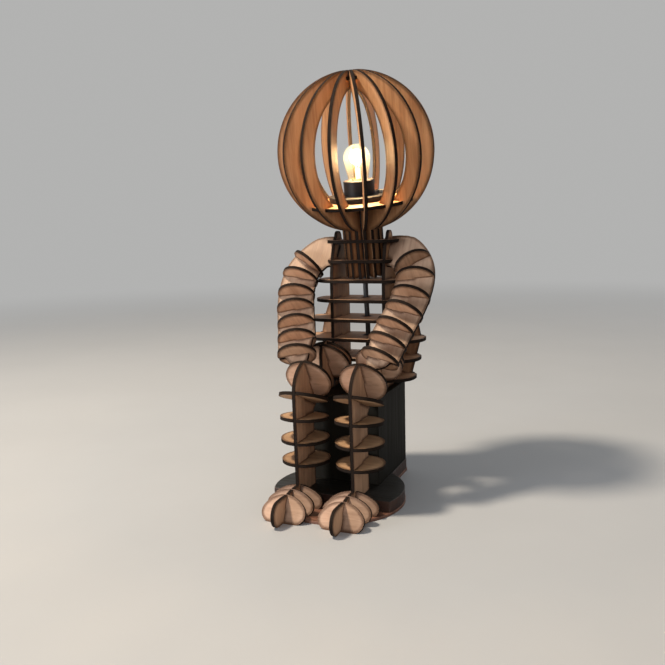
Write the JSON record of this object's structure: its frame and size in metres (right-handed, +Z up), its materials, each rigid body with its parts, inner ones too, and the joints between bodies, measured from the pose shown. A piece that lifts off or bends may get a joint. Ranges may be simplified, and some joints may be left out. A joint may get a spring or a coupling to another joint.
{
  "type": "desk lamp",
  "caption": "Desk lamp shaped like a sitting robot, slotted together from laser-cut wood sheets, with a ribbed globe shade for a head that turns round its lit bulb.",
  "frame": {"origin": "on the surface the lamp stands on, under the middle of the lamp's overall box", "axes": "+Z up, -Y the way the figure faces, +X the figure's left"},
  "size_m": [0.1574, 0.227, 0.3999],
  "materials": {
    "laser_cut_wood": "unfinished light plywood sheet, edges burnt dark brown by the cut",
    "black_painted_box": "matt black paint on board",
    "dark_stained_base": "dark reddish brown stain, satin",
    "black_lampholder": "moulded black thermoset, semi-gloss",
    "plated_screw": "zinc plated",
    "lit_bulb_glass": "clear glass, lit",
    "bulb_cap_brass": "nickel-tinted brass, threaded",
    "filament_mount": "glass stem, support wires and glowing filament",
    "cable_sheath": "black round flexible cable",
    "black_bush": "black nylon",
    "terminal_plastic": "off-white nylon"
  },
  "bodies": {
    "root": {"inner_cable": "cable_sheath", "terminal_block": "terminal_plastic", "outlet_bush": "black_bush", "torso_plate_1": "laser_cut_wood", "torso_plate_2": "laser_cut_wood", "torso_plate_3": "laser_cut_wood", "torso_plate_4": "laser_cut_wood", "torso_plate_5": "laser_cut_wood", "torso_plate_6": "laser_cut_wood", "torso_plate_7": "laser_cut_wood", "torso_plate_8": "laser_cut_wood", "left_slat": "laser_cut_wood", "right_slat": "laser_cut_wood", "left_side_board": "laser_cut_wood", "right_side_board": "laser_cut_wood", "left_arm_spine": "laser_cut_wood", "right_arm_spine": "laser_cut_wood", "left_arm_discs": "laser_cut_wood", "right_arm_discs": "laser_cut_wood", "left_leg_spine": "laser_cut_wood", "right_leg_spine": "laser_cut_wood", "left_leg_discs": "laser_cut_wood", "right_leg_discs": "laser_cut_wood", "left_foot_discs": "laser_cut_wood", "right_foot_discs": "laser_cut_wood", "seat_top": "black_painted_box", "seat_front": "black_painted_box", "seat_back": "black_painted_box", "seat_left": "black_painted_box", "seat_right": "black_painted_box", "plinth": "dark_stained_base", "base_board": "dark_stained_base"},
    "head": {"head_rib_01": "laser_cut_wood", "head_rib_02": "laser_cut_wood", "head_rib_03": "laser_cut_wood", "head_rib_04": "laser_cut_wood", "head_rib_05": "laser_cut_wood", "head_rib_06": "laser_cut_wood", "head_rib_07": "laser_cut_wood", "head_rib_08": "laser_cut_wood", "head_rib_09": "laser_cut_wood", "head_rib_10": "laser_cut_wood", "head_rib_11": "laser_cut_wood", "head_rib_12": "laser_cut_wood", "head_rib_13": "laser_cut_wood", "head_rib_14": "laser_cut_wood", "head_rib_15": "laser_cut_wood", "head_rib_16": "laser_cut_wood", "crown_disc": "laser_cut_wood", "lamp_shelf": "laser_cut_wood", "lampholder_flange": "black_lampholder", "lampholder_barrel": "black_lampholder", "lampholder_screws": "plated_screw"},
    "bulb": {"bulb_glass": "lit_bulb_glass", "bulb_cap": "bulb_cap_brass", "bulb_filament": "filament_mount"}
  },
  "joints": [
    {"name": "head_turn", "type": "hinge", "parent": "root", "child": "head", "pos_m": [0, 0.03802, 0.3244], "axis": [0, -0.1822, 0.9833], "range_deg": [-150, 150]},
    {"name": "bulb_unscrew", "type": "slide", "parent": "head", "child": "bulb", "axis": [0, -0.1822, 0.9833], "range_m": [0, 0.02]}
  ]
}
